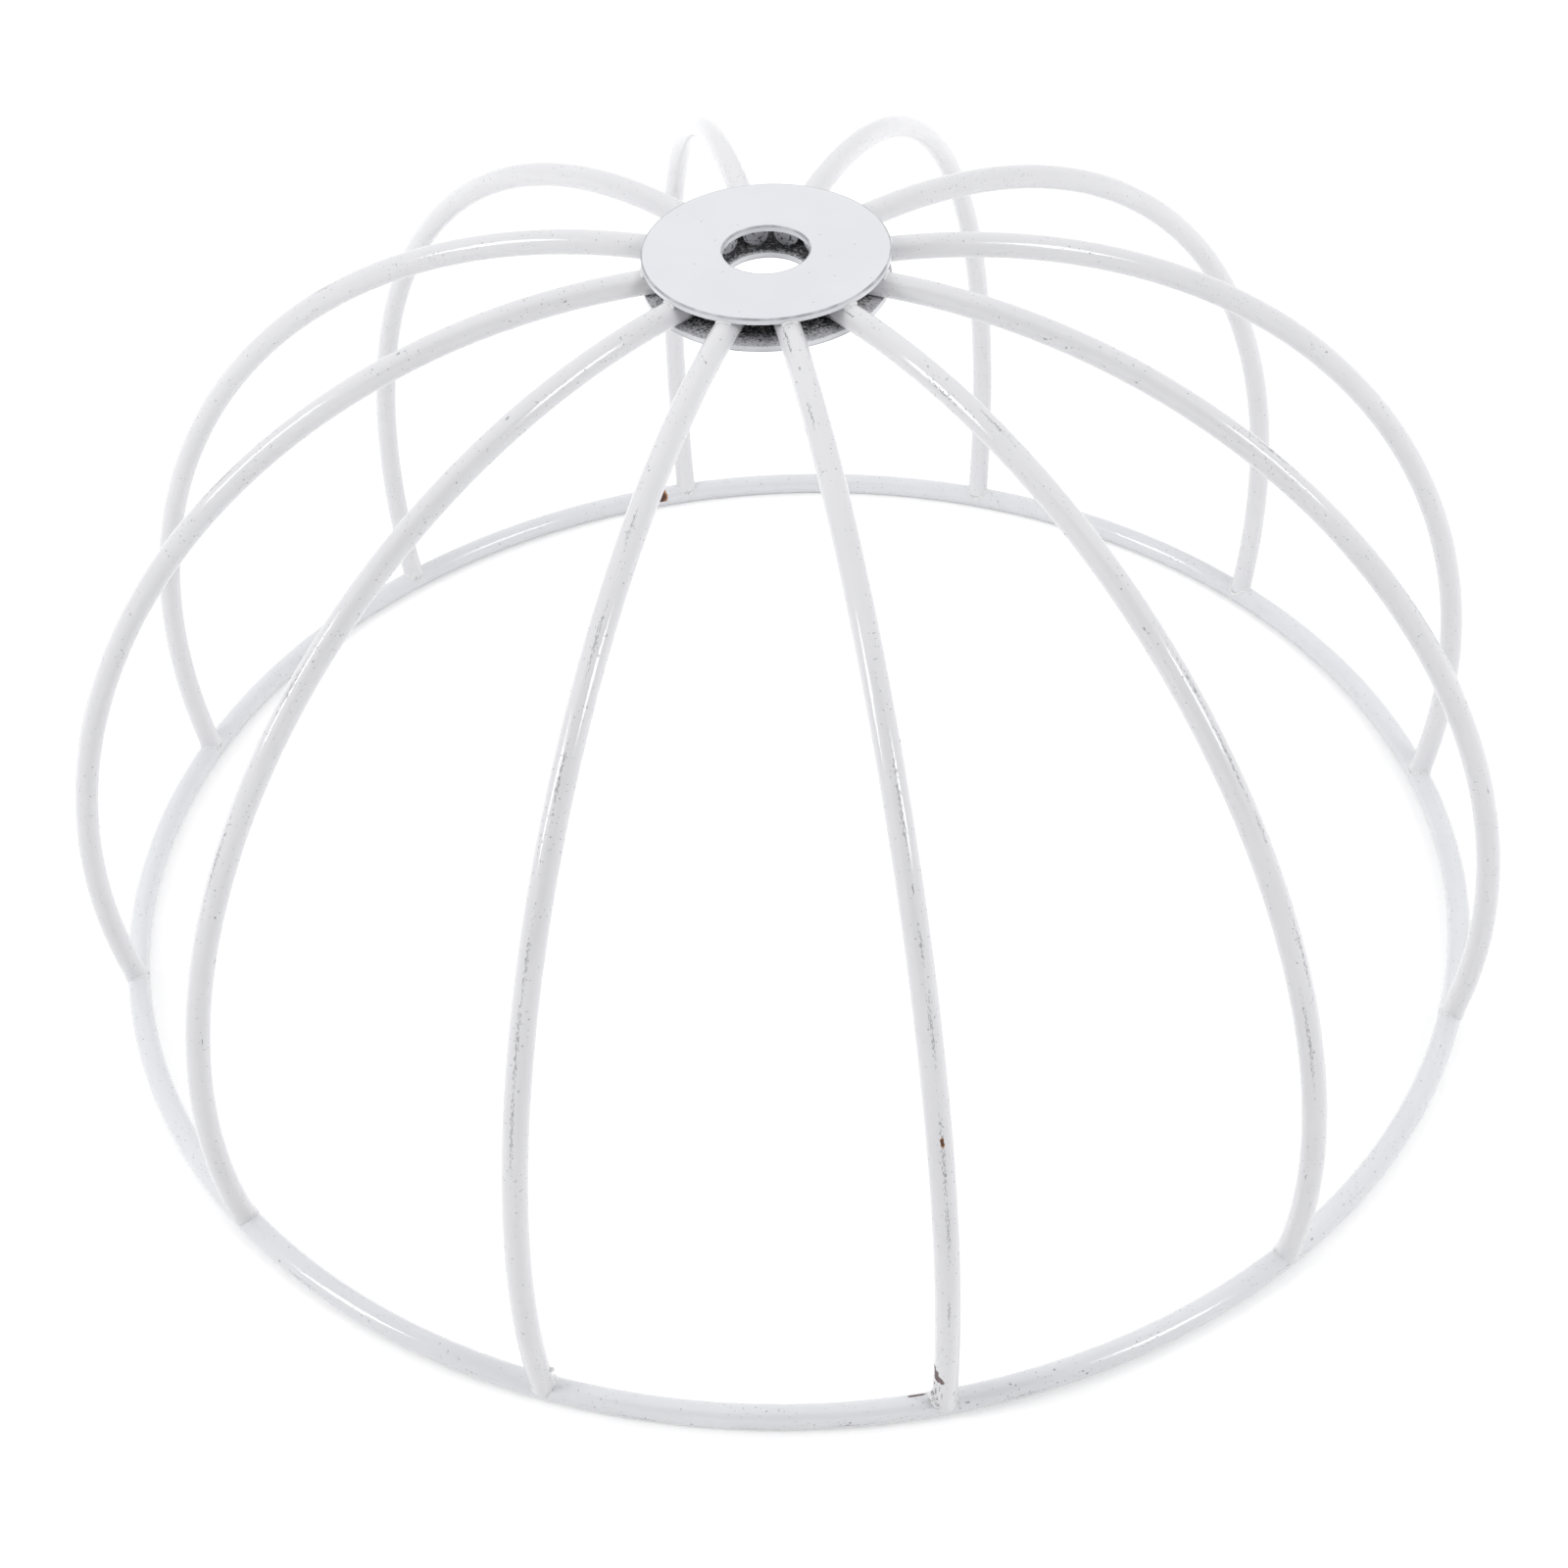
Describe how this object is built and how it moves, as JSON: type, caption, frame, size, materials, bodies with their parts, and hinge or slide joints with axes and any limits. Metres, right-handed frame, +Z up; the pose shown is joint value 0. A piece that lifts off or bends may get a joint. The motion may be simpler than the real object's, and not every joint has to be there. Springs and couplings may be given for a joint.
{
  "type": "lampshade frame",
  "caption": "Domed wire lampshade frame: bent wire ribs welded to a round bottom ring and pinched at the top between two discs with a hole for a lamp tube.",
  "frame": {"origin": "middle of the bottom ring, on the plane that the frame stands on", "axes": "+Z up along the axis of the discs' hole; +X towards the first rib, rib_01"},
  "size_m": [0.1892, 0.1892, 0.1028],
  "materials": {
    "ring_wire": "gloss white powder coat on steel wire",
    "rib_wire": "gloss white powder coat on steel wire, bare between the discs",
    "top_disc": "gloss white powder coat on a punched steel disc",
    "lower_disc": "gloss white powder coat, thin and grey on the face under the top disc"
  },
  "bodies": {
    "root": {"bottom_ring": "ring_wire", "top_disc": "top_disc", "lower_disc": "lower_disc", "rib_01": "rib_wire", "rib_02": "rib_wire", "rib_03": "rib_wire", "rib_04": "rib_wire", "rib_05": "rib_wire", "rib_06": "rib_wire", "rib_07": "rib_wire", "rib_08": "rib_wire", "rib_09": "rib_wire", "rib_10": "rib_wire", "rib_11": "rib_wire", "rib_12": "rib_wire"}
  },
  "joints": []
}
